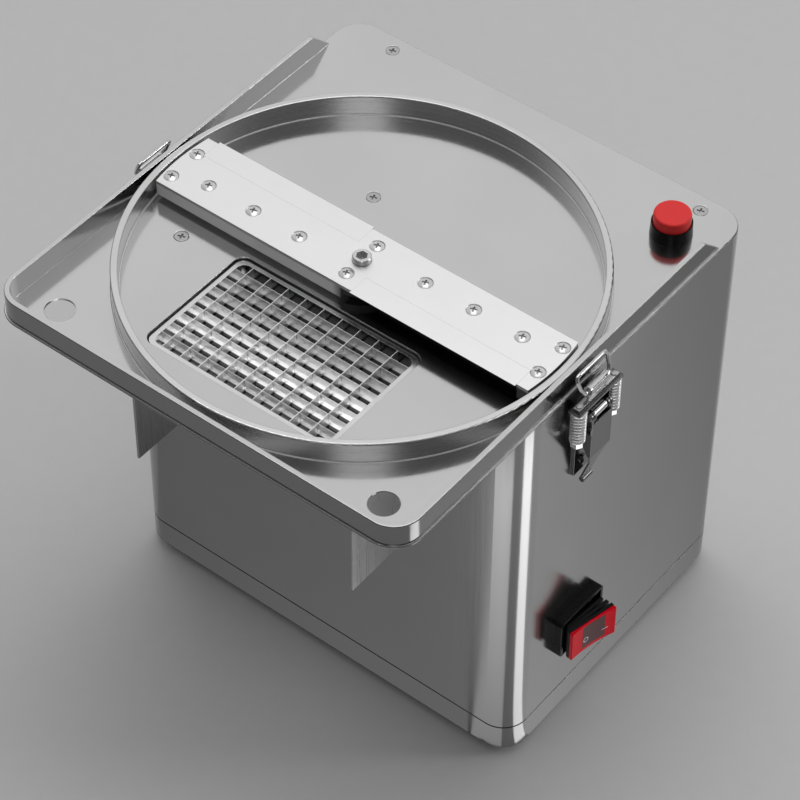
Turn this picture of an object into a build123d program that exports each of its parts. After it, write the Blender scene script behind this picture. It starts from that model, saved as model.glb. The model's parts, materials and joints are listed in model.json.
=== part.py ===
from build123d import *
from math import acos, asin, atan2, cos, degrees, pi, radians, sin, sqrt, tan
import os

os.makedirs("parts", exist_ok=True)

# Everything is drawn from the axis of the cutting ring, with z = 0 on top of the deck.
# emit() moves it to the shared frame: centre of the footprint, floor at z = 0.

# Deck, with the ring wall as wide as the deck allows
WIDTH = 260.0
RIM = 3.8
RING_R = WIDTH / 2 - RIM - 0.2
RING_BORE_R = RING_R - 3.85
RING_H = 12.6
FRONT = -RING_R - 8.0
REAR = RING_R + 30.0
SHEET = 1.2
FRONT_CORNER = 17.0
REAR_CORNER = 16.0
RIM_H = 13.2
RIM_IN = 1.0
EDGE_R = 0.5
RIM_SLOPE_TOP = REAR - 41.0
RIM_SLOPE_END = REAR - 27.0
DRAIN_D = 16.0
DRAIN_X = WIDTH / 2 - 27.0
DRAIN_Y = FRONT + 22.0

# Dicing grid, kept clear of the tube that carries the spindle
TUBE_R = 20.0
GRID_W = 117.8
GRID_L = 76.5
GRID_X = 1.0
GRID_REAR = -TUBE_R - 5.0
GRID_Y = GRID_REAR - GRID_L / 2
GRID_GAP = 0.9
GRID_BAND = 2.5
GRID_DROP = 1.6
GRID_H = 12.1
GRID_CORNER = 6.0
SEAT_WALL = 1.5
SEAT_LIP = 3.0
LONG_COUNT = 8
LONG_PITCH = (GRID_L - 2 * (GRID_GAP + GRID_BAND)) / (LONG_COUNT + 0.676)
CROSS_COUNT = 9
CROSS_PITCH = (GRID_W - 2 * (GRID_GAP + GRID_BAND)) / (CROSS_COUNT + 0.554)
STRIP = 0.8
STRIP_H = 9.2
STRIP_EDGE = 3.6
SLOT_FIT = 0.05

# Chute
CHUTE_X = GRID_W / 2 + 12.4
CHUTE_FRONT = GRID_REAR - GRID_L + 4.0
CHUTE_LOW = -101.0
CHUTE_MEET = -75.0
CHUTE_KNEE = -GRID_H - SEAT_WALL - 0.4

# Housing, seam and tray
WALL = 1.0
HOUSE_FRONT = GRID_REAR - 13.8
HOUSE_CORNER = 15.5
HOUSE_LOW = -235.2
TOP_FLANGE = 12.0
LOW_FLANGE = 10.0
SEAM = 0.9
SEAM_INSET = 0.8
TRAY_LOW = -252.8
TRAY_SHEET = 1.2

# Feet
FOOT_H = 7.0
FOOT_R = 11.0
FOOT_LOW_R = 9.5
FOOT_X = WIDTH / 2 - 18.0
FOOT_YS = (REAR - 29.0, HOUSE_FRONT + 26.0)

# Screws
M4_R = 2.0
M4_HEAD_R = 4.15
M4_HOLE_R = 2.2
SCREW_SINK = 0.2
SCREW_END = -9.0
FIT = 0.05
DECK_SCREWS = (
    (-WIDTH / 2 + 39.6, HOUSE_FRONT + 4.5),
    (-WIDTH / 2 + 34.0, REAR - 9.9),
    (WIDTH / 2 - 24.0, REAR - 9.9),
)
LUG_SCREWS = ((-31.9, 49.2), (-31.9, -6.0), (31.9, -6.0))
TRAY_SCREW_X = WIDTH / 2 - 30.0
TRAY_SCREWS = [(x, HOUSE_FRONT + 5.6) for x in (-TRAY_SCREW_X, 0, TRAY_SCREW_X)]
TRAY_SCREWS += [(x, REAR - 5.5) for x in (-TRAY_SCREW_X, 0, TRAY_SCREW_X)]

# Rotor
ROTOR_TOP = 12.0
ROTOR_LOW = 3.0
ROTOR_R = RING_BORE_R - 1.55
ROTOR_HALF = 20.6
KNIFE_REACH = 22.0
KNIFE_BACK = 12.0
KNIFE_JOINT = -9.0
KNIFE_T = 1.6
KNIFE_X0 = 9.6
KNIFE_X1 = ROTOR_R - 8.6
PLATE_T = 2.0
HUB_R = 18.0
WING_SCREWS = (
    (35.1, 6.7),
    (ROTOR_R - 55.3, 6.7),
    (ROTOR_R - 25.4, 6.7),
    (ROTOR_R - 5.5, 13.0),
    (ROTOR_R - 5.2, -7.65),
)
HUB_SCREW_Y = 12.35
DOME_DROP = 0.35
DOME_H = 1.0
HUB_HEAD_R = 5.0
HUB_HEAD_TOP = ROTOR_TOP + 3.0

# Drive line
SHAFT_R = 7.5
SPIGOT_R = 6.0
SPIGOT_FLAT = 4.6
SLINGER_R = 14.0
BEARING_A = (7.5, 16.0, 9.0)
BEARING_B = (5.0, 13.0, 8.0)
MODULE = 1.25
WHEEL_TEETH = 42
PINION_TEETH = 14
CENTRES = MODULE * (WHEEL_TEETH + PINION_TEETH) / 2
BACKLASH = 0.15
CASE_ROOF = -56.0
CASE_IN = -66.0
CASE_LOW = -98.0
COVER_LOW = -108.0
WHEEL_A = (-82.0, -70.0)
PINION_A = (-84.0, -68.5)
WHEEL_B = (-96.0, -88.0)
PINION_B = (-97.0, -87.0)
CASE_BORE = MODULE * WHEEL_TEETH / 2 + 2.35
CASE_R = CASE_BORE + 3.4
MOTOR_Y = 2 * CENTRES
MOTOR_NOSE_R = 24.0
MOTOR_NOSE_BORE = 12.0
CASE_LUGS = ((-32.0, -18.5), (32.0, -18.5), (-37.0, CENTRES / 2), (37.0, CENTRES / 2))
CASE_LUGS += ((-27.0, MOTOR_Y + 10.0), (27.0, MOTOR_Y + 10.0))

# Motor
MOTOR_R = 42.0
MOTOR_LOW = -204.0
BELL_H = 13.0
CAN_T = 1.0
STATOR_LOW = MOTOR_LOW + 22.0
STATOR_TOP = COVER_LOW - 24.0
STATOR_BORE = 23.0
AIR_GAP = 0.4
BOLT_R = 38.6

# Push button
BUTTON_X = WIDTH / 2 - 26.5
BUTTON_Y = REAR - 33.0
COLLAR_R = 11.2
COLLAR_H = 8.2
CAP_R = 9.9
CAP_TOP = 14.2
CAP_ROUND = 1.2
BARREL_R = 8.0
BARREL_LOW = -30.0

# Rocker switch on the right wall
SWITCH_Y = 16.25
SWITCH_Z = -186.5
BEZEL_L = 37.4
BEZEL_W = 26.3
BEZEL_T = 5.6
BEZEL_BAND = 2.2
ROCKER_L = 31.0
ROCKER_W = 21.0
ROCKER_PIVOT_U = 2.5
ROCKER_FACE = 13.5
ROCKER_TILT = 12.6
BODY_L = 34.6
BODY_W = 24.0
BODY_DEPTH = 28.0

# Mains inlet on the rear wall
INLET_X = -80.0
INLET_Z = -200.0
INLET_PROUD = 3.0

# Latches
LATCH_Y = {"right": 12.0, "left": -6.0}
PIVOT_U = 8.5
PIVOT_Z = -15.0
PIVOT_R = 2.5
CROSS_U = 5.0
CROSS_Z = -27.0
CROSS_R = 1.5
LEVER_HALF = 8.4
LEVER_T = 1.2
LEVER_U = 11.5
LEVER_KNEE = -42.5
LEVER_TIP = -67.0
EAR_HALF = 6.6
EAR_R = 3.3
YOKE_IN = 8.7
YOKE_OUT = 9.9
ROD_Y = 14.4
ROD_U = 7.0
SPRING_R = 3.75
SPRING_WIRE = 1.15
SPRING_TOP = -5.6
SPRING_LOW = -26.2
SPRING_TURNS = 10
ROLL_Z = 2.8
ROLL_R = 2.6
LOOP_R = 1.0

# Shared frame
SIDE_REACH_RIGHT = WIDTH / 2 + 19.06
DECK_Z = FOOT_H - TRAY_LOW
RING_Y = -(FRONT + REAR + INLET_PROUD) / 2
SIDE_SHIFT = (SIDE_REACH_RIGHT - WIDTH / 2 - PIVOT_U - EAR_R) / 2


def box(x0, x1, y0, y1, z0, z1):
    middle = Pos((x0 + x1) / 2, (y0 + y1) / 2, (z0 + z1) / 2)
    return middle * Box(x1 - x0, y1 - y0, z1 - z0)


def post(x, y, z0, z1, r):
    return Pos(x, y, (z0 + z1) / 2) * Cylinder(r, z1 - z0)


def cone(x, y, z0, z1, r0, r1):
    return Pos(x, y, (z0 + z1) / 2) * Cone(r0, r1, z1 - z0)


def tube(x, y, z0, z1, r, bore):
    return post(x, y, z0, z1, r) - post(x, y, z0 - 1, z1 + 1, bore)


def bar_y(x, z, y0, y1, r):
    return Pos(x, (y0 + y1) / 2, z) * Rot(90, 0, 0) * Cylinder(r, y1 - y0)


def bar_x(y, z, x0, x1, r):
    return Pos((x0 + x1) / 2, y, z) * Rot(0, 90, 0) * Cylinder(r, x1 - x0)


def hexagon(x, y, z0, z1, across):
    face = RegularPolygon(across / sqrt(3), 6)
    return Pos(x, y, z0) * extrude(face, z1 - z0)


def plan(x0, x1, y0, y1, front_r, rear_r):
    """Rectangle with its own corner radius at the front and at the rear."""
    face = Pos((x0 + x1) / 2, (y0 + y1) / 2) * Rectangle(x1 - x0, y1 - y0)
    corners = face.vertices().sort_by(Axis.Y)
    face = fillet(corners[:2], front_r)
    corners = [v for v in face.vertices() if v.Y > y1 - 0.001]
    return fillet(corners, rear_r)


def slab(face, z0, z1):
    return Pos(0, 0, z0) * extrude(face, z1 - z0, dir=(0, 0, 1))


def side_profile(points, x0, x1):
    """Prism along x from points given as (y, z)."""
    face = Plane.YZ * Polygon(*points, align=None)
    return Pos(x0, 0, 0) * extrude(face, x1 - x0, dir=(1, 0, 0))


def wall_profile(points, y0, y1):
    """Prism along y from points given as (u, z), u being the distance from a side wall."""
    face = Plane.XZ * Polygon(*points, align=None)
    return Pos(0, y0, 0) * extrude(face, y1 - y0, dir=(0, 1, 0))


def joined(parts):
    solid = parts[0]
    for part in parts[1:]:
        solid = solid + part
    return solid


def group(parts):
    solids = []
    for part in parts:
        solids.extend(part.solids())
    return Compound(children=solids)


def half_turn(part):
    return Rot(0, 0, 180) * part


def emit(name, part):
    export_step(Pos(-SIDE_SHIFT, RING_Y, DECK_Z) * part, "parts/" + name + ".step")


def deck_plan(inset):
    half = WIDTH / 2 - inset
    return plan(-half, half, FRONT + inset, REAR - inset, FRONT_CORNER - inset, REAR_CORNER - inset)


def house_plan(inset):
    half = WIDTH / 2 - inset
    r = max(HOUSE_CORNER - inset, 3.0)
    return plan(-half, half, HOUSE_FRONT + inset, REAR - inset, r, r)


def grid_plan(grow):
    w = GRID_W / 2 + grow
    h = GRID_L / 2 + grow
    r = GRID_CORNER + grow
    return plan(GRID_X - w, GRID_X + w, GRID_Y - h, GRID_Y + h, r, r)


# Deck: flat sheet, rim on three sides with sloping ends, punched openings.
def deck_plate():
    sheet = slab(deck_plan(0), -SHEET, 0)
    sheet = fillet(sheet.faces().sort_by(Axis.Z)[-1].edges(), EDGE_R)
    sheet = fillet(sheet.faces().sort_by(Axis.Z)[0].edges(), EDGE_R)
    half = WIDTH / 2 - RIM
    hollow = plan(-half, half, FRONT + RIM, REAR + 60, FRONT_CORNER - RIM, 5.0)
    rim = slab(deck_plan(RIM_IN), -SHEET / 2, RIM_H)
    rim = fillet(rim.faces().sort_by(Axis.Z)[-1].edges(), EDGE_R)
    rim = rim - slab(hollow, -SHEET - 1, RIM_H + 1)
    over = RIM_H + 5
    above = [(RIM_SLOPE_TOP, over), (RIM_SLOPE_TOP, RIM_H), (RIM_SLOPE_END, 0)]
    above += [(REAR + 5, 0), (REAR + 5, over)]
    rim = rim - side_profile(above, -WIDTH, WIDTH)
    solid = sheet + rim
    solid = solid - slab(grid_plan(0), -5, 1)
    solid = solid - post(0, 0, -5, 1, SHAFT_R + 4.5)
    solid = solid - post(BUTTON_X, BUTTON_Y, -5, 1, BARREL_R + 0.2)
    for side in (-1, 1):
        solid = solid - post(side * DRAIN_X, DRAIN_Y, -5, 1, DRAIN_D / 2)
    for x, y in DECK_SCREWS + LUG_SCREWS:
        solid = solid - cone(x, y, -SHEET - 0.01, 0.01, M4_HOLE_R, M4_HEAD_R + FIT)
    return solid


def ring_wall():
    wall = tube(0, 0, 0, RING_H, RING_R, RING_BORE_R)
    top = wall.edges().filter_by(GeomType.CIRCLE).group_by(Axis.Z)[-1]
    return fillet(top, 0.8)


# Dicing grid: a frame, strips both ways, and the seat that carries it.
def grid_seat():
    outer = slab(grid_plan(SEAT_WALL), -GRID_H - SEAT_WALL, -SHEET)
    well = slab(grid_plan(0), -GRID_H, 0)
    hole = slab(grid_plan(-SEAT_LIP), -GRID_H - 5, 0)
    return outer - well - hole


def grid_inner():
    inset = GRID_GAP + GRID_BAND
    w = GRID_W / 2 - inset
    h = GRID_L / 2 - inset
    return GRID_X - w, GRID_X + w, GRID_Y - h, GRID_Y + h


def grid_frame():
    outer = slab(grid_plan(-GRID_GAP), -GRID_H, -GRID_DROP)
    x0, x1, y0, y1 = grid_inner()
    return outer - slab(plan(x0, x1, y0, y1, 4.5, 4.5), -GRID_H - 1, 1)


def strip_outline(middle):
    """Upright strip with a long ground edge at the top."""
    half = STRIP / 2
    top = -GRID_DROP
    low = top - STRIP_H
    points = [(middle - half, low), (middle + half, low), (middle + half, top - STRIP_EDGE)]
    return points + [(middle + 0.05, top), (middle - 0.05, top), (middle - half, top - STRIP_EDGE)]


def strip_along_x(y, x0, x1):
    return side_profile(strip_outline(y), x0, x1)


def strip_along_y(x, y0, y1):
    return wall_profile(strip_outline(x), y0, y1)


def long_rows():
    y0 = grid_inner()[2]
    return [y0 + LONG_PITCH * (i + 1) - STRIP / 2 for i in range(LONG_COUNT)]


def cross_rows():
    x1 = grid_inner()[1]
    return [x1 - CROSS_PITCH * (i + 1) + STRIP / 2 for i in range(CROSS_COUNT)]


def grid_blades_long():
    x0, x1, y0, y1 = grid_inner()
    half_depth = -GRID_DROP - STRIP_H / 2
    strips = []
    for y in long_rows():
        strip = strip_along_x(y, x0, x1)
        for x in cross_rows():
            w = STRIP / 2 + SLOT_FIT
            strip = strip - box(x - w, x + w, y - 1, y + 1, -GRID_H - 1, half_depth + SLOT_FIT)
        strips.append(strip)
    return group(strips)


def grid_blades_cross():
    x0, x1, y0, y1 = grid_inner()
    half_depth = -GRID_DROP - STRIP_H / 2
    strips = []
    for x in cross_rows():
        strip = strip_along_y(x, y0, y1)
        for y in long_rows():
            w = STRIP / 2 + SLOT_FIT
            strip = strip - box(x - 1, x + 1, y - w, y + w, half_depth - SLOT_FIT, 1)
        strips.append(strip)
    return group(strips)


# Chute under the grid: two side plates and a sloping back.
def seat_rear():
    return GRID_Y + GRID_L / 2 + SEAT_WALL


def chute_sides():
    back = seat_rear() + SHEET
    points = [(CHUTE_FRONT, -SHEET), (back, -SHEET), (back, CHUTE_KNEE)]
    points += [(HOUSE_FRONT, CHUTE_MEET), (HOUSE_FRONT, CHUTE_LOW), (CHUTE_FRONT, CHUTE_LOW)]
    left = side_profile(points, -CHUTE_X - SHEET / 2, -CHUTE_X + SHEET / 2)
    right = side_profile(points, CHUTE_X - SHEET / 2, CHUTE_X + SHEET / 2)
    return group([left, right])


def chute_back():
    y = seat_rear()
    t = SHEET
    points = [(y, -SHEET), (y + t, -SHEET), (y + t, CHUTE_KNEE)]
    points += [(HOUSE_FRONT, CHUTE_MEET), (HOUSE_FRONT - t, CHUTE_MEET), (y, CHUTE_KNEE)]
    half = CHUTE_X - SHEET / 2
    return side_profile(points, -half, half)


# Housing: folded sheet with flanges turned inward at the top and the bottom.
def housing_shell():
    shell = slab(house_plan(0), HOUSE_LOW, -SHEET)
    shell = shell - slab(house_plan(WALL), HOUSE_LOW + WALL, -SHEET - WALL)
    shell = shell - slab(house_plan(TOP_FLANGE), -20, 5)
    shell = shell - slab(house_plan(LOW_FLANGE), HOUSE_LOW - 5, HOUSE_LOW + 20)
    half = CHUTE_X + SHEET / 2 + 0.2
    back = seat_rear() + SHEET + 0.2
    shell = shell - box(-half, half, HOUSE_FRONT - 5, HOUSE_FRONT + WALL + 0.01, CHUTE_MEET, 0)
    shell = shell - box(-half, half, HOUSE_FRONT - 5, back, -20, 0)
    sx = WIDTH / 2
    y = SWITCH_Y
    z = SWITCH_Z
    shell = shell - box(
        sx - 5, sx + 5, y - BODY_L / 2 - 0.2, y + BODY_L / 2 + 0.2, z - BODY_W / 2 - 0.2, z + BODY_W / 2 + 0.2
    )
    shell = shell - box(INLET_X - 14.2, INLET_X + 14.2, REAR - 5, REAR + 5, INLET_Z - 10.2, INLET_Z + 10.2)
    for side in (-1, 1):
        shell = shell - bar_y(INLET_X + side * 20, INLET_Z, REAR - 5, REAR + 5, 1.7)
    for x, y in DECK_SCREWS:
        shell = shell - post(x, y, -10, 0, M4_HOLE_R)
    for x, y in TRAY_SCREWS:
        shell = shell - post(x, y, HOUSE_LOW - 2, HOUSE_LOW + 5, M4_HOLE_R)
    return shell


def base_gasket():
    seam = slab(house_plan(SEAM_INSET), HOUSE_LOW - SEAM, HOUSE_LOW)
    seam = seam - slab(house_plan(LOW_FLANGE), HOUSE_LOW - 5, HOUSE_LOW + 5)
    for x, y in TRAY_SCREWS:
        seam = seam - post(x, y, HOUSE_LOW - 5, HOUSE_LOW + 5, M4_HOLE_R)
    return seam


def base_tray():
    top = HOUSE_LOW - SEAM
    tray = slab(house_plan(0), TRAY_LOW, top)
    tray = tray - slab(house_plan(TRAY_SHEET), TRAY_LOW + TRAY_SHEET, top - TRAY_SHEET)
    tray = tray - slab(house_plan(LOW_FLANGE), top - 5, top + 5)
    for i in range(7):
        x = -60 + 20 * i
        slot = box(x - 3, x + 3, 40, 100, TRAY_LOW - 2, TRAY_LOW + 5)
        tray = tray - slot
    for x, y in TRAY_SCREWS:
        tray = tray - post(x, y, top - 5, top + 5, M4_HOLE_R)
    for x, y in foot_places():
        tray = tray - post(x, y, TRAY_LOW - 2, TRAY_LOW + 5, 2.7)
    return tray


def foot_places():
    return [(side * FOOT_X, y) for y in FOOT_YS for side in (-1, 1)]


def feet():
    parts = []
    for x, y in foot_places():
        foot = cone(x, y, TRAY_LOW - FOOT_H, TRAY_LOW, FOOT_LOW_R, FOOT_R)
        foot = foot - post(x, y, TRAY_LOW - FOOT_H - 1, TRAY_LOW - 3, 5.5)
        foot = foot - post(x, y, TRAY_LOW - FOOT_H, TRAY_LOW + 1, 2.7)
        parts.append(foot)
    return group(parts)


def foot_screws():
    parts = []
    seat = TRAY_LOW - 3
    top = TRAY_LOW + TRAY_SHEET
    for x, y in foot_places():
        screw = post(x, y, seat, top + 7, 2.5) + post(x, y, seat - 2.5, seat, 4.8)
        screw = screw - hexagon(x, y, seat - 3, seat - 1, 3.0)
        nut = hexagon(x, y, top, top + 4, 8.0) - post(x, y, top - 1, top + 5, 2.55)
        parts += [screw, nut]
    return group(parts)


# Countersunk screw in the deck, its flat head a little below the sheet, with a cross recess.
def deck_screw(x, y):
    top_r = M4_R + (M4_HEAD_R - FIT - M4_R) * (SHEET - SCREW_SINK) / SHEET
    body = cone(x, y, -SHEET, -SCREW_SINK, M4_R, top_r)
    body = body + post(x, y, SCREW_END, 0.01 - SHEET, M4_R)
    for a in (0, 90):
        body = body - Pos(x, y, -SCREW_SINK) * Rot(0, 0, a + 20) * Box(4.0, 1.0, 2.0)
    return body


def deck_screws():
    return group([deck_screw(x, y) for x, y in list(DECK_SCREWS) + list(LUG_SCREWS)])


def case_nuts():
    parts = []
    top = -SHEET - WALL
    for x, y in DECK_SCREWS:
        parts.append(hexagon(x, y, top - 3.2, top, 6.6) - post(x, y, top - 5, top + 1, M4_R + FIT))
    top = HOUSE_LOW - SEAM - TRAY_SHEET
    for x, y in TRAY_SCREWS:
        parts.append(hexagon(x, y, top - 3.2, top, 7.0) - post(x, y, top - 5, top + 1, M4_R + FIT))
    return group(parts)


def tray_screws():
    parts = []
    seat = HOUSE_LOW + WALL
    for x, y in TRAY_SCREWS:
        screw = post(x, y, seat - 8.0, seat, M4_R) + post(x, y, seat, seat + 2.6, 3.8)
        parts.append(screw - hexagon(x, y, seat + 1, seat + 3, 2.5))
    return parts


def hidden_screws():
    return group(tray_screws() + gear_case_screws() + motor_bolts())


# Rotor: wing parts are drawn for the right wing and turned half round for the left.
def rotor_disc(z0, z1):
    return post(0, 0, z0, z1, ROTOR_R)


def rotor_screw_places():
    places = list(WING_SCREWS) + [(-x, -y) for x, y in WING_SCREWS]
    return places + [(0, HUB_SCREW_Y), (0, -HUB_SCREW_Y)]


def rotor_top_plate():
    low = ROTOR_TOP - PLATE_T
    bar = box(-ROTOR_R, ROTOR_R, -ROTOR_HALF, ROTOR_HALF, low, ROTOR_TOP)
    plate = bar & rotor_disc(low, ROTOR_TOP)
    room = box(KNIFE_X0 - FIT, KNIFE_X1 + FIT, -KNIFE_REACH - 5, KNIFE_JOINT + FIT, low - 1, ROTOR_TOP + 1)
    plate = plate - room - half_turn(room)
    plate = plate - post(0, 0, low - 1, ROTOR_TOP + 1, HUB_HEAD_R + 0.15)
    for x, y in rotor_screw_places():
        plate = plate - cone(x, y, low - 0.01, ROTOR_TOP + 0.01, M4_HOLE_R, M4_HEAD_R + FIT)
    return plate


def rotor_wing():
    top = ROTOR_TOP - PLATE_T
    under = top - KNIFE_T
    points = [(ROTOR_HALF, top), (ROTOR_HALF, ROTOR_LOW), (14.0, ROTOR_LOW), (-8.0, under)]
    points += [(KNIFE_BACK, under), (KNIFE_BACK, top)]
    wing = side_profile(points, -2.8, ROTOR_R)
    cheek = box(KNIFE_X1 + 0.3, ROTOR_R, -ROTOR_HALF, ROTOR_HALF, ROTOR_LOW, top)
    return (wing + cheek) & rotor_disc(ROTOR_LOW, top)


def rotor_carrier():
    top = ROTOR_TOP - PLATE_T
    wing = rotor_wing()
    hub = post(0, 0, ROTOR_LOW, top, HUB_R)
    solid = wing + half_turn(wing) + hub
    knife = knife_blank()
    solid = solid - knife - half_turn(knife)
    solid = solid - (post(0, 0, 0, ROTOR_TOP - 5, SPIGOT_R + FIT) & spigot_flats(FIT))
    solid = solid - post(0, 0, 0, top + 1, 3.2) - post(0, 0, 8.2, top + 1, HUB_HEAD_R + 0.15)
    for x, y in rotor_screw_places():
        solid = solid - post(x, y, 4.6, top + 1, M4_R + FIT)
    return solid


def spigot_flats(fit):
    flat = SPIGOT_FLAT + fit
    return box(-flat, flat, -20, 20, -5, ROTOR_TOP)


def knife_blank():
    """Blade flush with the top plate, with a tongue that the plate clamps."""
    top = ROTOR_TOP
    step = top - PLATE_T
    under = step - KNIFE_T
    points = [(KNIFE_BACK, under), (KNIFE_BACK, step), (KNIFE_JOINT, step), (KNIFE_JOINT, top)]
    points += [(-KNIFE_REACH, top), (-KNIFE_REACH, top - 0.15), (-KNIFE_REACH + 7.5, under)]
    return side_profile(points, KNIFE_X0, KNIFE_X1)


def rotor_knives():
    knife = knife_blank()
    for x, y in WING_SCREWS[:3]:
        knife = knife - post(x, y, 0, 20, M4_HOLE_R)
    return group([knife, half_turn(knife)])


def domed_screw(x, y):
    """Raised countersunk screw, its rim a little below the plate."""
    seat = ROTOR_TOP - PLATE_T
    rim = ROTOR_TOP - DOME_DROP
    rim_r = M4_R + (M4_HEAD_R - FIT - M4_R) * (rim - seat) / PLATE_T
    ball_r = (rim_r * rim_r + DOME_H * DOME_H) / (2 * DOME_H)
    crown = Pos(x, y, rim + DOME_H - ball_r) * Sphere(ball_r) & post(x, y, rim, rim + DOME_H + 1, rim_r)
    head = cone(x, y, seat, rim, M4_R, rim_r) + crown
    for a in (0, 90):
        head = head - Pos(x, y, rim + DOME_H) * Rot(0, 0, a + 20) * Box(3.8, 1.0, 3.0)
    return head + post(x, y, 5.0, seat + 0.01, M4_R)


def rotor_screws():
    return group([domed_screw(x, y) for x, y in rotor_screw_places()])


def hub_bolt():
    head = post(0, 0, 8.2, HUB_HEAD_TOP, HUB_HEAD_R)
    head = chamfer(head.edges().group_by(Axis.Z)[-1], 0.5)
    head = head - hexagon(0, 0, HUB_HEAD_TOP - 3.0, HUB_HEAD_TOP + 1, 5.5)
    return head + post(0, 0, -8.0, 8.2, 3.0)


# Drive line from the hub down to the motor.
def spindle_shaft():
    bottom = WHEEL_A[0] - 4.0
    shaft = post(0, 0, bottom, 0.8, SHAFT_R) + post(0, 0, 0.8, ROTOR_LOW, SLINGER_R)
    shaft = shaft + (post(0, 0, 0, 6.8, SPIGOT_R) & spigot_flats(0))
    return shaft - post(0, 0, -10, 8, 3.0 + 0.02)


def involute(angle):
    return tan(angle) - angle


def gear_face(teeth, phase):
    """Outline of a spur gear with a tooth centred on the direction phase, in degrees."""
    pitch_r = MODULE * teeth / 2
    base_r = pitch_r * cos(radians(20))
    tip_r = pitch_r + 0.8 * MODULE
    root_r = pitch_r - 1.1 * MODULE
    half = pi / (2 * teeth) - BACKLASH / (4 * pitch_r)
    at_pitch = involute(radians(20))
    start_r = max(base_r, root_r)
    radii = [start_r, (start_r + tip_r) / 2, tip_r]
    flank = [(r, half + at_pitch - involute(acos(min(1.0, base_r / r)))) for r in radii]
    if root_r < start_r:
        flank.insert(0, (root_r, flank[0][1]))
    points = []
    for i in range(teeth):
        middle = radians(phase) + 2 * pi * i / teeth
        tooth = [(r, middle - a) for r, a in flank] + [(r, middle + a) for r, a in reversed(flank)]
        points += [(r * cos(a), r * sin(a)) for r, a in tooth]
    return Polygon(*points, align=None)


def spindle_gear():
    z0, z1 = WHEEL_A
    wheel = slab(gear_face(WHEEL_TEETH, 90), z0, z1)
    wheel = wheel - tube(0, 0, z0 - 1, z0 + 3, 22, 13) - tube(0, 0, z1 - 3, z1 + 1, 22, 13)
    wheel = wheel + post(0, 0, z1 - 0.5, -59.2, 11)
    return wheel - post(0, 0, z0 - 1, -50, SHAFT_R)


def layshaft():
    phase = -90 + 180 / PINION_TEETH
    shaft = post(0, CENTRES, COVER_LOW + 2.5, CASE_ROOF - 2.5, BEARING_B[0] - FIT)
    pinion = Pos(0, CENTRES, 0) * slab(gear_face(PINION_TEETH, phase), PINION_A[0], PINION_A[1])
    return shaft + pinion


def layshaft_gear():
    z0, z1 = WHEEL_B
    wheel = slab(gear_face(WHEEL_TEETH, 90), z0, z1)
    wheel = wheel - tube(0, 0, z0 - 1, z0 + 2, 22, 11)
    wheel = wheel + post(0, 0, z1 - 0.5, PINION_A[0], 9)
    return Pos(0, CENTRES, 0) * (wheel - post(0, 0, z0 - 1, z1 + 10, BEARING_B[0] - FIT))


def case_plan(r, nose):
    face = Circle(r) + Pos(0, CENTRES) * Circle(r) + Pos(0, MOTOR_Y) * Circle(nose)
    waist = Pos(0, CENTRES / 2) * Rectangle(2 * r, CENTRES)
    return face + waist


def gear_case():
    solid = slab(case_plan(CASE_R, MOTOR_NOSE_R), CASE_LOW, CASE_ROOF)
    solid = solid - slab(case_plan(CASE_BORE, MOTOR_NOSE_BORE), CASE_LOW - 1, CASE_IN)
    solid = solid + post(0, 0, CASE_ROOF - 0.5, -SHEET, TUBE_R)
    for x, y in LUG_SCREWS:
        reach = sqrt(x * x + y * y)
        arm = Pos(0, 0, -SHEET - 5) * Rot(0, 0, degrees(atan2(y, x))) * Pos(reach / 2, 0, 0)
        solid = solid + arm * Box(reach, 11, 10) + post(x, y, -SHEET - 10, -SHEET, 6.5)
    for x, y in CASE_LUGS:
        solid = solid + post(x, y, CASE_LOW, CASE_LOW + 8, 6)
        inward = Pos(x * 0.86, y if y < MOTOR_Y else y - 4, CASE_LOW + 4)
        solid = solid + inward * Box(10, 9, 8)
    solid = solid - slab(case_plan(CASE_BORE, MOTOR_NOSE_BORE), CASE_LOW - 1, CASE_IN)
    solid = solid - post(0, 0, -17, 0, BEARING_A[1])
    solid = solid - post(0, 0, -60, -10, 13.5)
    solid = solid - post(0, 0, -70, -50, BEARING_A[1])
    solid = solid - post(0, CENTRES, -70, CASE_IN + BEARING_B[2], BEARING_B[1])
    for x, y in CASE_LUGS:
        solid = solid - post(x, y, CASE_LOW - 1, CASE_LOW + 9, M4_HOLE_R)
    for x, y in LUG_SCREWS:
        solid = solid - post(x, y, -9.2, 0, M4_R + 0.02)
    return solid


def gear_case_cover():
    solid = slab(case_plan(CASE_R, MOTOR_NOSE_R), COVER_LOW, CASE_LOW)
    for x, y in CASE_LUGS:
        solid = solid + post(x, y, COVER_LOW, CASE_LOW, 6)
        inward = Pos(x * 0.86, y if y < MOTOR_Y else y - 4, (COVER_LOW + CASE_LOW) / 2)
        solid = solid + inward * Box(10, 9, CASE_LOW - COVER_LOW)
    solid = solid - post(0, CENTRES, CASE_LOW - BEARING_B[2], 0, BEARING_B[1])
    solid = solid - post(0, MOTOR_Y, COVER_LOW - 1, 0, 11)
    for x, y in CASE_LUGS:
        solid = solid - post(x, y, CASE_LOW - 9, CASE_LOW + 1, M4_R + 0.02)
    for x, y in motor_bolt_places():
        if y < MOTOR_Y:
            solid = solid - post(x, y, COVER_LOW - 1, COVER_LOW + 7, M4_R + 0.02)
    return solid


def gear_case_screws():
    parts = []
    seat = CASE_LOW + 8
    for x, y in CASE_LUGS:
        screw = post(x, y, CASE_LOW - 8, seat, M4_R) + post(x, y, seat, seat + 3.5, 3.5)
        parts.append(screw - hexagon(x, y, seat + 1.5, seat + 4, 3.0))
    return parts


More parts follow.
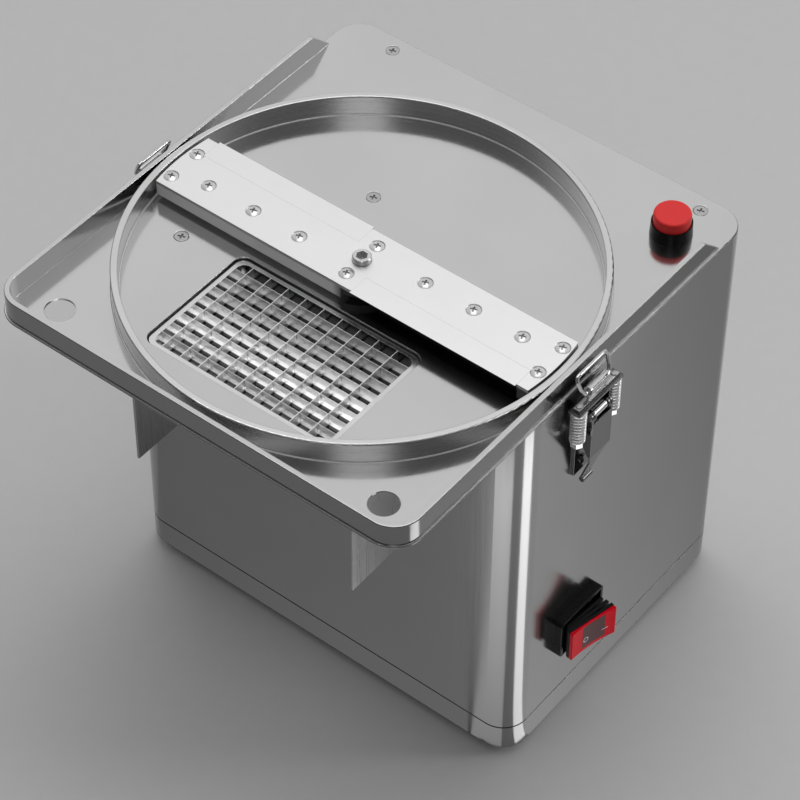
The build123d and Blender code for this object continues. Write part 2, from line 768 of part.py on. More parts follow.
def ball_bearing(x, y, z0, size):
    bore, outer, width = size
    bore = bore + FIT
    middle = (bore + outer) / 2
    z1 = z0 + width
    ring = tube(x, y, z0, z1, outer, middle + 2.2) + tube(x, y, z0, z1, middle - 2.2, bore)
    return ring + tube(x, y, z0 + 1, z1 - 1, middle + 2.3, middle - 2.3)


def bearings():
    parts = [ball_bearing(0, 0, -17, BEARING_A), ball_bearing(0, 0, -59, BEARING_A)]
    parts.append(ball_bearing(0, CENTRES, CASE_IN, BEARING_B))
    parts.append(ball_bearing(0, CENTRES, CASE_LOW - BEARING_B[2], BEARING_B))
    parts.append(ball_bearing(0, MOTOR_Y, COVER_LOW - 11, BEARING_B))
    parts.append(ball_bearing(0, MOTOR_Y, MOTOR_LOW + 3, BEARING_B))
    return group(parts)


def spindle_seal():
    return tube(0, 0, -7.6, -1.4, BEARING_A[1], SHAFT_R + FIT)


def motor_bolt_places():
    return [(BOLT_R * cos(radians(a)), MOTOR_Y + BOLT_R * sin(radians(a))) for a in (-125, -55, 55, 125)]


def motor_bells():
    top = tube(0, MOTOR_Y, COVER_LOW - BELL_H, COVER_LOW, MOTOR_R, 9)
    top = top - post(0, MOTOR_Y, COVER_LOW - 11, COVER_LOW - 3, BEARING_B[1])
    top = top - tube(0, MOTOR_Y, COVER_LOW - BELL_H - 1, COVER_LOW - 5, 36, 17)
    top = top - post(0, MOTOR_Y, COVER_LOW - 20, COVER_LOW - 10, BEARING_B[1])
    low = post(0, MOTOR_Y, MOTOR_LOW, MOTOR_LOW + BELL_H, MOTOR_R)
    low = low - post(0, MOTOR_Y, MOTOR_LOW + 3, MOTOR_LOW + 30, BEARING_B[1])
    low = low - tube(0, MOTOR_Y, MOTOR_LOW + 5, MOTOR_LOW + 30, 36, 17)
    for x, y in motor_bolt_places():
        hole = post(x, y, MOTOR_LOW - 1, COVER_LOW + 1, M4_HOLE_R)
        top = top - hole
        low = low - hole
    return group([top, low])


def motor_can():
    can = tube(0, MOTOR_Y, MOTOR_LOW + BELL_H, COVER_LOW - BELL_H, MOTOR_R, MOTOR_R - CAN_T)
    for i in range(8):
        a = radians(45 * i + 22.5)
        for z in (STATOR_TOP - 6, STATOR_LOW + 14):
            hole = Pos(MOTOR_R * cos(a), MOTOR_Y + MOTOR_R * sin(a), z) * Cylinder(2.2, 14)
            can = can - hole
    return can


def motor_stator():
    ring = tube(0, MOTOR_Y, STATOR_LOW, STATOR_TOP, MOTOR_R - CAN_T, STATOR_BORE)
    for x, y in motor_bolt_places():
        ring = ring - post(x, y, STATOR_LOW - 1, STATOR_TOP + 1, 2.6)
    middle = (STATOR_LOW + STATOR_TOP) / 2
    for i in range(12):
        slot = Pos(0, MOTOR_Y, middle) * Rot(0, 0, 30 * i + 15) * Pos(STATOR_BORE + 6, 0, 0)
        ring = ring - slot * Box(14, 4.5, STATOR_TOP - STATOR_LOW + 2)
    return ring


def motor_armature():
    bore = BEARING_B[0] - FIT
    return tube(0, MOTOR_Y, STATOR_LOW, STATOR_TOP, STATOR_BORE - AIR_GAP, bore)


def motor_shaft():
    phase = -90 + 180 / PINION_TEETH
    shaft = post(0, MOTOR_Y, MOTOR_LOW + 3.5, PINION_B[1], BEARING_B[0] - FIT)
    return shaft + Pos(0, MOTOR_Y, 0) * slab(gear_face(PINION_TEETH, phase), PINION_B[0], PINION_B[1])


def motor_bolts():
    parts = []
    for x, y in motor_bolt_places():
        top = COVER_LOW + 6 if y < MOTOR_Y else COVER_LOW - 0.5
        bolt = post(x, y, MOTOR_LOW, top, M4_R)
        parts.append(bolt + hexagon(x, y, MOTOR_LOW - 3, MOTOR_LOW, 7.0))
    return parts


# Push button on the deck.
def button_collar():
    collar = cone(BUTTON_X, BUTTON_Y, 0, COLLAR_H, COLLAR_R, COLLAR_R - 0.4)
    collar = collar - post(BUTTON_X, BUTTON_Y, 1.5, COLLAR_H + 1, CAP_R + 0.3)
    barrel = post(BUTTON_X, BUTTON_Y, BARREL_LOW, 1.0, BARREL_R)
    barrel = barrel - post(BUTTON_X, BUTTON_Y, BARREL_LOW + 3, 5, 5.5)
    return collar - post(BUTTON_X, BUTTON_Y, -1, 5, 5.5) + barrel


def button_cap():
    low = 4.3
    cap = post(BUTTON_X, BUTTON_Y, low, CAP_TOP, CAP_R)
    cap = fillet(cap.edges().group_by(Axis.Z)[-1], CAP_ROUND)
    return cap + post(BUTTON_X, BUTTON_Y, -20, low + 0.5, 3.2)


def coil(x, y, z0, z1, radius, wire, turns):
    rise = (z1 - z0 - wire)
    path = Pos(x, y, z0 + wire / 2) * Helix(pitch=rise / turns, height=rise, radius=radius)
    section = Plane(origin=path @ 0, z_dir=path % 0) * Rectangle(wire * 0.8, wire * 0.8)
    return sweep(section, path=path, is_frenet=True)


def button_spring():
    return coil(BUTTON_X, BUTTON_Y, BARREL_LOW + 3.1, 4.2, 4.3, 1.2, 6)


# Rocker switch. u is the distance from the right wall, v runs along the wall.
def on_right_wall(part):
    return Pos(WIDTH / 2, SWITCH_Y, SWITCH_Z) * part


def switch_bezel():
    frame = box(0, BEZEL_T, -BEZEL_L / 2, BEZEL_L / 2, -BEZEL_W / 2, BEZEL_W / 2)
    frame = fillet(frame.edges().filter_by(Axis.X), 2.2)
    frame = fillet(frame.faces().sort_by(Axis.X)[-1].outer_wire().edges(), 0.6)
    l = BEZEL_L / 2 - BEZEL_BAND
    w = BEZEL_W / 2 - BEZEL_BAND + 0.6
    return on_right_wall(frame - box(-1, BEZEL_T + 1, -l, l, -w, w))


def switch_body():
    body = box(-BODY_DEPTH, 0, -BODY_L / 2, BODY_L / 2, -BODY_W / 2, BODY_W / 2)
    body = body - box(-19, 1, -BODY_L / 2 + 1.2, BODY_L / 2 - 1.2, -BODY_W / 2 + 1.0, BODY_W / 2 - 1.0)
    for v in (-9, 0, 9):
        body = body + box(-BODY_DEPTH - 8, -BODY_DEPTH, v - 0.4, v + 0.4, -3.2, 3.2)
    return on_right_wall(body)


def in_rocker(part):
    """Places a part drawn about the rocker pivot, face outward, in the pressed position."""
    return on_right_wall(Pos(ROCKER_PIVOT_U, 0, 0) * Rot(0, 0, -ROCKER_TILT) * part)


def rocker():
    half = ROCKER_L / 2
    points = [(ROCKER_FACE - 2.4, -half), (ROCKER_FACE, -half), (ROCKER_FACE - 1.0, -half / 2)]
    points += [(ROCKER_FACE - 1.4, 0), (ROCKER_FACE - 1.0, half / 2), (ROCKER_FACE, half)]
    points += [(ROCKER_FACE - 2.4, half)]
    face = extrude(Polygon(*points, align=None), ROCKER_W, dir=(0, 0, 1))
    cap = Pos(0, 0, -ROCKER_W / 2) * face
    stem = box(0, ROCKER_FACE - 2.0, -5, 5, -6, 6)
    pivot = Cylinder(2.0, BEZEL_W - 2 * BEZEL_BAND + 0.9)
    return in_rocker(cap + stem + pivot)


def rocker_boot():
    parts = []
    for i, tilt in enumerate((0.0, 4.0, 8.0)):
        l = ROCKER_L / 2 - 0.8 * i
        w = ROCKER_W / 2 - 0.5 * i
        u = ROCKER_FACE - 2.4 - 2.6 * i
        pleat = Rot(0, 0, tilt) * box(u - 1.9, u, -l, l, -w, w)
        parts.append(pleat)
    core = box(3.5, ROCKER_FACE - 3.0, -9, 9, -8, 8)
    solid = joined(parts + [core]) - box(-1, ROCKER_FACE - 2.4, -5, 5, -6, 6)
    return in_rocker(solid)


# Mains inlet on the rear wall.
def inlet_body():
    flange = box(INLET_X - 25, INLET_X + 25, REAR, REAR + INLET_PROUD, INLET_Z - 12, INLET_Z + 12)
    flange = fillet(flange.edges().filter_by(Axis.Y), 3.0)
    shell = box(INLET_X - 14, INLET_X + 14, REAR - 22, REAR + 0.5, INLET_Z - 10, INLET_Z + 10)
    solid = flange + shell
    solid = solid - box(INLET_X - 12.3, INLET_X + 12.3, REAR - 17, REAR + 5, INLET_Z - 8.3, INLET_Z + 8.3)
    for side in (-1, 1):
        solid = solid - bar_y(INLET_X + side * 20, INLET_Z, REAR - 1, REAR + 5, 1.7)
        solid = solid - inlet_screw_head(side, FIT)
    for dx, dz in inlet_pin_places():
        x = INLET_X + dx
        z = INLET_Z + dz
        solid = solid - box(x - 1, x + 1, REAR - 30, REAR - 10, z - 2, z + 2)
    return solid


def inlet_pin_places():
    return [(-7.0, -2.0), (0.0, 2.0), (7.0, -2.0)]


def inlet_pins():
    parts = []
    for dx, dz in inlet_pin_places():
        x = INLET_X + dx
        z = INLET_Z + dz
        parts.append(box(x - 1, x + 1, REAR - 30, REAR - 1, z - 2, z + 2))
    return group(parts)


def inlet_screw_head(side, fit):
    place = Pos(INLET_X + side * 20, REAR + INLET_PROUD - 0.7, INLET_Z)
    return place * Rot(90, 0, 0) * Cone(2.9 + fit, 1.65 + fit, 1.4)


def inlet_screws():
    parts = []
    for side in (-1, 1):
        shank = bar_y(INLET_X + side * 20, INLET_Z, REAR - 6, REAR + INLET_PROUD - 1.2, 1.5)
        parts.append(shank + inlet_screw_head(side, 0))
    return group(parts)


# Toggle latches, drawn on the right wall with x as the distance from it.
def on_side(part, side):
    if side == "right":
        return Pos(WIDTH / 2, LATCH_Y[side], 0) * part
    flipped = [mirror(solid, about=Plane.YZ) for solid in part.solids()]
    return Pos(-WIDTH / 2, LATCH_Y[side], 0) * group(flipped)


def pair_y(part):
    return [part, mirror(part, about=Plane.XZ)]


def latch_plate(side):
    plate = box(0, 1.2, -EAR_HALF, EAR_HALF, -64, -8)
    for inner in (EAR_HALF - 1.2, -EAR_HALF):
        ear = bar_y(PIVOT_U, PIVOT_Z, inner, inner + 1.2, EAR_R)
        ear = ear + box(1.0, PIVOT_U, inner, inner + 1.2, PIVOT_Z - EAR_R, PIVOT_Z + EAR_R)
        plate = plate + ear
    plate = plate - bar_y(PIVOT_U, PIVOT_Z, -10, 10, PIVOT_R + FIT)
    for z in (-36, -56):
        plate = plate + cyl_u(1.2, 2.2, 0, z, 2.6)
    return on_side(plate, side)


def cyl_u(u0, u1, y, z, r):
    return bar_x(y, z, u0, u1, r)


def latch_lever(side):
    inner = LEVER_HALF - LEVER_T
    front = box(LEVER_U - LEVER_T, LEVER_U, -LEVER_HALF, LEVER_HALF, LEVER_KNEE, -19)
    cheek_points = [(5.3, -14.0), (PIVOT_U, -12.0), (LEVER_U, -14.5), (LEVER_U, LEVER_KNEE)]
    cheek_points += [(LEVER_U - 2.2, LEVER_KNEE), (2.6, -28.2), (2.6, -25.8)]
    cheek = wall_profile(cheek_points, inner, LEVER_HALF)
    cheek = cheek + bar_y(PIVOT_U, PIVOT_Z, inner, LEVER_HALF, EAR_R)
    cheek = cheek + bar_y(CROSS_U, CROSS_Z, inner, LEVER_HALF, 2.7)
    tail_points = [(LEVER_U, LEVER_KNEE), (3.9, LEVER_TIP), (2.7, LEVER_TIP)]
    tail_points += [(LEVER_U - LEVER_T, LEVER_KNEE)]
    tail = wall_profile(tail_points, -LEVER_HALF, LEVER_HALF) + bar_y(4.2, LEVER_TIP, -4, 4, 1.6)
    narrow = [(-LEVER_HALF, LEVER_KNEE), (LEVER_HALF, LEVER_KNEE), (3.8, -52), (3.8, -70)]
    narrow += [(-3.8, -70), (-3.8, -52)]
    tail = tail & side_profile(narrow, 0, 20)
    lever = front + tail
    for part in pair_y(cheek):
        lever = lever + part
    lever = lever - bar_y(PIVOT_U, PIVOT_Z, -10, 10, PIVOT_R)
    lever = lever - bar_y(CROSS_U, CROSS_Z, -10, 10, CROSS_R)
    return on_side(lever, side)


def latch_pins(side):
    pivot = bar_y(PIVOT_U, PIVOT_Z, -LEVER_HALF, LEVER_HALF, PIVOT_R)
    cross = bar_y(CROSS_U, CROSS_Z, -YOKE_OUT - 0.3, YOKE_OUT + 0.3, CROSS_R)
    return on_side(group([pivot, cross]), side)


def latch_yoke(side):
    points = [(3.0, -25.5), (4.6, SPRING_TOP), (4.6, SPRING_TOP + 1.2), (9.4, SPRING_TOP + 1.2)]
    points += [(9.4, SPRING_TOP), (7.2, -28.0)]
    arm = wall_profile(points, YOKE_IN, YOKE_OUT) + bar_y(CROSS_U, CROSS_Z, YOKE_IN, YOKE_OUT, 2.7)
    tab = box(3.6, 10.4, YOKE_IN, 18.4, SPRING_TOP, SPRING_TOP + 1.2)
    half = arm + tab
    half = half - bar_y(CROSS_U, CROSS_Z, 0, 20, CROSS_R + FIT)
    half = half - post(ROD_U, ROD_Y, -10, 0, 1.6)
    bridge = box(3.6, 10.4, -YOKE_IN - 0.5, YOKE_IN + 0.5, SPRING_TOP, SPRING_TOP + 1.2)
    return on_side(joined([bridge] + pair_y(half)), side)


def latch_rods(side):
    rod = post(ROD_U, ROD_Y, SPRING_LOW - 5.5, -2.0, 1.5)
    nut = hexagon(ROD_U, ROD_Y, SPRING_LOW - 3.6, SPRING_LOW, 6.0)
    nut = nut - post(ROD_U, ROD_Y, SPRING_LOW - 5, SPRING_LOW + 1, 1.5)
    return on_side(group(pair_y(rod) + pair_y(nut)), side)


def latch_springs(side):
    wound = coil(ROD_U, ROD_Y, SPRING_LOW, SPRING_TOP, SPRING_R, SPRING_WIRE, SPRING_TURNS)
    return on_side(group(pair_y(wound)), side)


def wire(points, r):
    solid = None
    for start, end in zip(points, points[1:]):
        run = Vector(*end) - Vector(*start)
        place = Plane(origin=(Vector(*start) + Vector(*end)) / 2, z_dir=run)
        piece = place * Cylinder(r, run.length) + Pos(*end) * Sphere(r)
        solid = piece if solid is None else solid + piece
    return solid


def latch_hook(side):
    """Cross bar on the two rods, with a rolled edge that holds the wire loop."""
    bar = box(5.2, 8.8, -ROD_Y - 2.4, ROD_Y + 2.4, -4.2, -2.6)
    neck = box(ROD_U - 0.6, ROD_U + 0.6, -7.6, 7.6, -3.0, 0.8)
    roll = bar_y(ROD_U, ROLL_Z, -7.6, 7.6, ROLL_R)
    solid = joined([bar, neck, roll])
    for y in (-ROD_Y, ROD_Y):
        solid = solid - post(ROD_U, y, -5, 1.0, 1.5)
    solid = solid - bar_y(ROD_U, ROLL_Z, -8, 8, LOOP_R + FIT)
    for lean in (-38, 38):
        slot = Pos(ROD_U, 0, ROLL_Z) * Rot(0, lean, 0) * Pos(0, 0, ROLL_R) * Box(0.9, 12.6, 2.6)
        solid = solid - slot
    half = [(ROD_U, 0.4, ROLL_Z), (ROD_U, 10.0, ROLL_Z), (5.6, 11.6, 5.6), (3.7, 12.4, 10.4)]
    half += [(2.9, 11.6, 12.6), (2.8, 9.6, 13.0)]
    path = half + [(u, -y, z) for u, y, z in reversed(half)]
    return on_side(group([solid, wire(path, LOOP_R)]), side)


PARTS = (
    deck_plate, ring_wall, grid_seat, grid_frame, grid_blades_long, grid_blades_cross,
    chute_sides, chute_back, housing_shell, base_gasket, base_tray, feet, foot_screws,
    deck_screws, case_nuts, hidden_screws, rotor_top_plate, rotor_carrier, rotor_knives,
    rotor_screws, hub_bolt, spindle_shaft, spindle_gear, layshaft, layshaft_gear,
    gear_case, gear_case_cover, bearings, spindle_seal, motor_bells, motor_can,
    motor_stator, motor_armature, motor_shaft, button_collar, button_cap, button_spring,
    switch_bezel, switch_body, rocker, rocker_boot, inlet_body, inlet_pins, inlet_screws,
)
LATCH_PARTS = (
    latch_plate, latch_lever, latch_pins, latch_yoke, latch_rods, latch_springs, latch_hook,
)

for make in PARTS:
    emit(make.__name__, make())

for make in LATCH_PARTS:
    for side in ("right", "left"):
        emit(make.__name__ + "_" + side, make(side))
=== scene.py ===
# %% [markdown]
# This lesson dresses a tabletop vegetable dicer, shown with its feed hopper taken off. The
# solids come from the CAD frame and already sit in metres, feet on the floor, front towards
# -Y. We never move them: we give each one its finish, add the small pieces that the solids
# show too plainly, then set up the camera, the floor and the light.

import json
import math

import bmesh
import bpy
from mathutils import Matrix, Quaternion, Vector


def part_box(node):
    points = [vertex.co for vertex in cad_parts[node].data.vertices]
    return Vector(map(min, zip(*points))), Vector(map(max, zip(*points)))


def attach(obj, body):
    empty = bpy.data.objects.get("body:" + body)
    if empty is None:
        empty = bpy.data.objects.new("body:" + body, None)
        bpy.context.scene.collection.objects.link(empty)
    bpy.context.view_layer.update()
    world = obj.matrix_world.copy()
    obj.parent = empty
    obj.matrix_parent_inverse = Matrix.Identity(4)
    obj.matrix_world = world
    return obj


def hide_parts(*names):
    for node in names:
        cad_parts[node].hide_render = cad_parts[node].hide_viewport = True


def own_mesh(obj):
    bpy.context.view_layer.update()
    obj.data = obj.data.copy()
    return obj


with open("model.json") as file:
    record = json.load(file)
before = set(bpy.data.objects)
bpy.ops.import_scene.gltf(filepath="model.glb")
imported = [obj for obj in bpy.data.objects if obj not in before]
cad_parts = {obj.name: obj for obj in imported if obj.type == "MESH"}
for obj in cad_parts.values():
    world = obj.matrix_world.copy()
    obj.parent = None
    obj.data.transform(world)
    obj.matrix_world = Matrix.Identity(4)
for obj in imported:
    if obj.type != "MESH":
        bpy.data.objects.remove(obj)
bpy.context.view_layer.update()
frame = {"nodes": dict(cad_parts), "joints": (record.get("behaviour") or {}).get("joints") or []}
nodes = frame["nodes"]
MM = 0.001
FRONT, RIGHT, UP = (0, -1, 0), (1, 0, 0), (0, 0, 1)

# %% [markdown]
# A finish in Cycles is a small graph of nodes. This lesson builds many of them, so two helpers
# come first: one adds a node and sets its plain values, the other joins two sockets. The same
# two helpers serve the world at the end, because it holds a graph of the same kind.

# %% Helpers for a finish
def start_finish(name):
    finish = bpy.data.materials.new(name)
    finish.use_nodes = True
    finish.node_tree.nodes.clear()
    return finish


def add(finish, kind, **values):
    node = finish.node_tree.nodes.new(kind)
    for key, value in values.items():
        if key in node.inputs:
            node.inputs[key].default_value = value
        else:
            setattr(node, key, value)
    return node


def join(finish, source, out, target, into):
    finish.node_tree.links.new(source.outputs[out], target.inputs[into])


print("helpers ready: start_finish, add, join")

# %% [markdown]
# Most graphs need a number moved from one span to another: noise between 0.3 and 0.7 becomes a
# gloss, a height in metres becomes a share of the colour. Map Range does that. A colour ramp
# could do it too, but it stops at 1 and mixes colours where we want plain numbers.

# %% A number from one span to another
def respan(finish, source, out, low, high, to_low, to_high):
    ramp = add(finish, "ShaderNodeMapRange")
    for key, value in (("From Min", low), ("From Max", high),
                       ("To Min", to_low), ("To Max", to_high)):
        ramp.inputs[key].default_value = value
    join(finish, source, out, ramp, "Value")
    return ramp


NOISE_LOW, NOISE_HIGH = 0.3, 0.7
print("noise is read between", NOISE_LOW, "and", NOISE_HIGH)

# %% [markdown]
# Grain is noise that is stretched along one direction. A brushed sheet has long fine lines, a
# turned ring has lines that run round it, and a blasted face has none, so the stretch is the
# only thing that changes. Mapping squeezes the coordinates before they reach the noise. They
# are the piece's own coordinates, so the grain stays on the piece when it moves.

# %% Stretched noise
def grain(finish, stretch, detail=4.0, rough=0.6):
    place = add(finish, "ShaderNodeTexCoord")
    squeeze = add(finish, "ShaderNodeMapping", Scale=stretch)
    noise = add(finish, "ShaderNodeTexNoise", Scale=1.0, Detail=detail, Roughness=rough)
    join(finish, place, "Object", squeeze, "Vector")
    join(finish, squeeze, "Vector", noise, "Vector")
    return noise


def two_tone(finish, noise, tone, swing):
    ramp = add(finish, "ShaderNodeValToRGB")
    dark, light = ramp.color_ramp.elements
    dark.position, light.position = NOISE_LOW, NOISE_HIGH
    dark.color = (*(c * (1 - swing) for c in tone), 1)
    light.color = (*(min(1.0, c * (1 + swing)) for c in tone), 1)
    join(finish, noise, "Fac", ramp, "Fac")
    return ramp


print("noise helpers ready: grain, two_tone")

# %% [markdown]
# The outside of the deck's rim and of the ring is darker than the inside, because there it
# mirrors a dark room. Our room is pale, so that dark reflection is painted into the colour: a
# painted reflection on the outer faces. A face is an outer one when its normal points away from
# the middle of the ring. The dot product of the normal with the way out from that middle tells
# the two apart on one solid, with no need to cut it up or to paint single faces.

# %% Painted reflection on outer faces
def painted_outer_reflection(finish, middle, outer_share, inner_share):
    place = add(finish, "ShaderNodeTexCoord")
    away = add(finish, "ShaderNodeVectorMath", operation="SUBTRACT")
    away.inputs[1].default_value = (middle.x, middle.y, 0)
    level = add(finish, "ShaderNodeVectorMath", operation="MULTIPLY")
    level.inputs[1].default_value = (1, 1, 0)
    facing = add(finish, "ShaderNodeVectorMath", operation="DOT_PRODUCT")
    join(finish, place, "Object", away, 0)
    join(finish, away, "Vector", level, 0)
    join(finish, level, "Vector", facing, 0)
    join(finish, place, "Normal", facing, 1)
    start, full = 0.03, 0.09
    return respan(finish, facing, "Value", start, full, inner_share, outer_share)


print("share ready: painted_outer_reflection")

# %% [markdown]
# Two more shares work the same way. One goes by the way a face looks, such as the painted shade
# on the underside of a plate. The other goes by where a point lies along an axis, such as the
# painted shade at the foot of a strip. Each only scales the colour of the metal, and its gloss
# stays.

# %% Shares by direction and by place
def by_normal(finish, axis, low, high, share_low, share_high):
    place = add(finish, "ShaderNodeTexCoord")
    facing = add(finish, "ShaderNodeVectorMath", operation="DOT_PRODUCT")
    facing.inputs[1].default_value = axis
    join(finish, place, "Normal", facing, 0)
    return respan(finish, facing, "Value", low, high, share_low, share_high)


def by_place(finish, along, low, high, share_low, share_high):
    place = add(finish, "ShaderNodeTexCoord")
    parts = add(finish, "ShaderNodeSeparateXYZ")
    join(finish, place, "Object", parts, "Vector")
    return respan(finish, parts, along, low, high, share_low, share_high)


print("shares ready: by_normal, by_place")

# %% [markdown]
# Bare metal is the main finish here. Its colour varies a little in broad clouds, its gloss
# varies along the grain, and the grain also tilts the surface very slightly. Sheet edges are
# never perfectly sharp: a Bevel node rounds the shading there, which draws the thin bright
# lines that catch the light on every real edge.

# %% Bare metal
def finish_skin(finish, surface, colour, shine, bumps, depth, speck, edge):
    out = add(finish, "ShaderNodeOutputMaterial")
    tilt = add(finish, "ShaderNodeBump", Strength=depth, Distance=speck)
    round_edge = add(finish, "ShaderNodeBevel", samples=4, Radius=edge)
    join(finish, *colour, surface, "Base Color")
    join(finish, shine, "Result", surface, "Roughness")
    join(finish, bumps, "Fac", tilt, "Height")
    join(finish, round_edge, "Normal", tilt, "Normal")
    join(finish, tilt, "Normal", surface, "Normal")
    join(finish, surface, "BSDF", out, "Surface")


def metal(name, tone, gloss, stretch, depth=0.12, edge=0.0004, swing=0.06, cloud=30.0,
          speck=0.00004, share=None, metallic=1.0):
    finish = start_finish(name)
    surface = add(finish, "ShaderNodeBsdfPrincipled", Metallic=metallic)
    lines = grain(finish, stretch)
    clouds = grain(finish, (cloud, cloud, cloud), 3.0, 0.5)
    colour = (two_tone(finish, clouds, tone, swing), "Color")
    shine = respan(finish, lines, "Fac", NOISE_LOW, NOISE_HIGH, gloss * 0.8, gloss * 1.25)
    if share:
        kind, *values = share
        dim = add(finish, "ShaderNodeVectorMath", operation="SCALE")
        join(finish, *colour, dim, 0)
        join(finish, kind(finish, *values), "Result", dim, "Scale")
        colour = (dim, "Vector")
    finish_skin(finish, surface, colour, shine, lines, depth, speck, edge)
    return finish


def grey(value):
    return (value, value, value)


print("finish ready: metal")

# %% [markdown]
# Plastic and rubber reflect only at their skin. A moulded part has a fine texture that breaks
# up its highlight; a rubber foot is duller and slightly dusty. One helper covers both, with
# the gloss and the size of the texture as its values.

# %% Moulded plastic and rubber
def moulded(name, tone, gloss, pebble=1800.0, depth=0.25, edge=0.0005, swing=0.12,
            shine_level=0.5):
    finish = start_finish(name)
    surface = add(finish, "ShaderNodeBsdfPrincipled", Metallic=0.0)
    surface.inputs["Specular IOR Level"].default_value = shine_level
    skin = grain(finish, (pebble, pebble, pebble), 2.0, 0.5)
    clouds = grain(finish, (90, 90, 90), 3.0, 0.6)
    colour = (two_tone(finish, clouds, tone, swing), "Color")
    shine = respan(finish, clouds, "Fac", NOISE_LOW, NOISE_HIGH,
                   gloss * 0.85, min(1.0, gloss * 1.2))
    finish_skin(finish, surface, colour, shine, skin, depth, 0.00006, edge)
    return finish


print("finish ready: moulded")

# %% [markdown]
# The deck is polished stainless sheet, almost a mirror, with a very fine grain from front to
# back. The housing is a darker sheet brushed upright. The ring is turned and smooth. The chute
# is plain bent sheet, and its sloping back lies in the dark under the grid, so that shade is
# painted into it as a near-black tone. Each gets its own stretch, tone and gloss.

# %% Sheet finishes
ring_low, ring_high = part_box("ring_wall")
ring_middle = (ring_low + ring_high) / 2
# painted reflection: the outward faces of the deck's rim are painted to a third of the deck's
# tone
deck_sheet = metal("deck_sheet", grey(0.62), 0.14, (2400, 30, 2400), depth=0.05,
                   swing=0.03, cloud=14, share=(painted_outer_reflection, ring_middle, 0.34, 1.0))
# painted light: walls facing right are painted up to a tenth lighter than the front wall
housing_sheet = metal("housing_sheet", grey(0.30), 0.16, (2600, 2600, 14), depth=0.05,
                      swing=0.04, cloud=10, share=(by_normal, RIGHT, 0.2, 0.95, 1.0, 1.1))
# painted reflection: the ring's outer face is painted darker than its inner face
ring_steel = metal("ring_steel", grey(0.74), 0.24, (12, 12, 900), depth=0.0,
                   swing=0.03, share=(painted_outer_reflection, ring_middle, 0.7, 0.9))
chute_sheet = metal("chute_sheet", grey(0.30), 0.3, (900, 900, 12), depth=0.02)
# painted shade: a near-black tone for the shade under the grid
painted_shade_back = metal("painted_shade_back", grey(0.05), 0.5, (2600, 2600, 20), depth=0.06)
inner_sheet = metal("inner_sheet", grey(0.45), 0.35, (40, 2400, 2400), depth=0.1)
print("sheet finishes:", deck_sheet.name, housing_sheet.name, ring_steel.name)

# %% [markdown]
# The rotor's top plate is the palest thing on the machine: a satin face with no direction to its
# grain, most likely blasted with fine beads. It is pale on its sides, and its underside is
# darkened by painted shade.
# In the photograph the carrier's flank is pale on the left wing, where it mirrors the deck, and
# almost black on the right wing, where it lies under the knife. One solid makes both flanks,
# so a share along X stands in for the two reflections.

# %% Rotor and screw finishes
beads = (2600, 2600, 2600)
# painted shade: faces that point down are painted to a tenth of the tone
rotor_satin = metal("rotor_satin", grey(0.80), 0.42, beads, depth=0.2, edge=0.00005,
                    swing=0.012, share=(by_normal, UP, -0.9, 0.1, 0.08, 1.0))
# painted shade: the knives' undersides are painted near black and their upright faces to less
# than half
knife_satin = metal("knife_satin", grey(0.80), 0.42, beads, depth=0.2, edge=0.00004,
                    swing=0.012, share=(by_normal, UP, -0.5, 0.95, 0.08, 1.0))
rotor_body = metal("rotor_body", grey(0.95), 0.5, (30, 2600, 2600), depth=0.1, swing=0.02,
                   metallic=0.35, share=(by_place, "X", -6 * MM, 0.0, 1.0, 0.1))
turned = (900, 900, 4000)
bright_screw = metal("bright_screw", grey(0.66), 0.26, turned, depth=0.08, edge=0.0003)
dull_screw = metal("dull_screw", grey(0.50), 0.2, turned, depth=0.08, edge=0.0003)
print("rotor finishes:", rotor_satin.name, knife_satin.name, rotor_body.name)

# %% [markdown]
# The grid's strips are bright, with dark gaps between their rows. Our strips are a little too
# deep to leave such gaps, so their lowest two millimetres are painted near black instead:
# painted shade for the gaps. The rear side of the frame, which looks forward under the rotor,
# lies in shade, and that shade is painted into it as a near-black tone. Drive parts are hidden
# inside, and their oiled gear steel and tumbled castings are our guess.

# %% Grid and drive finishes
strip_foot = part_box("grid_blades_long")[0].z
dark_to, bright_from = strip_foot + 1.9 * MM, strip_foot + 2.7 * MM
# painted shade: frame faces that look forward, under the rotor, are painted near black
grid_steel = metal("grid_steel", grey(0.70), 0.22, (60, 60, 2600), depth=0.08, edge=0.0002,
                   share=(by_normal, FRONT, 0.3, 0.9, 1.0, 0.08))
# painted shade: the lowest two millimetres of each strip are painted near black for the gaps
strip_steel = metal("strip_steel", grey(0.92), 0.42, (50, 50, 3000), depth=0.04,
                    edge=0.00008, swing=0.02,
                    share=(by_place, "Z", dark_to, bright_from, 0.05, 1.0))
gear_steel = metal("gear_steel", (0.36, 0.35, 0.33), 0.34, (1400, 1400, 60), swing=0.12)
shaft_steel = metal("shaft_steel", grey(0.6), 0.22, (200, 200, 3000))
cast_metal = metal("cast_metal", grey(0.56), 0.5, (700, 700, 700), depth=0.5,
                   speck=0.0002, swing=0.1)
lamination = metal("lamination", (0.2, 0.19, 0.18), 0.5, (60, 60, 2000), depth=0.4, swing=0.15)
zinc_steel = metal("zinc_steel", (0.6, 0.6, 0.57), 0.32, (900, 900, 900), swing=0.1)
print("strips are bright above", round(bright_from / MM, 1), "mm")

# %% [markdown]
# Latches of this kind are pressed from thin sheet, which is darker here than the wall behind
# it. The loop, rods and pins are drawn wire and turned rod, brighter, and the springs are the
# brightest of all.

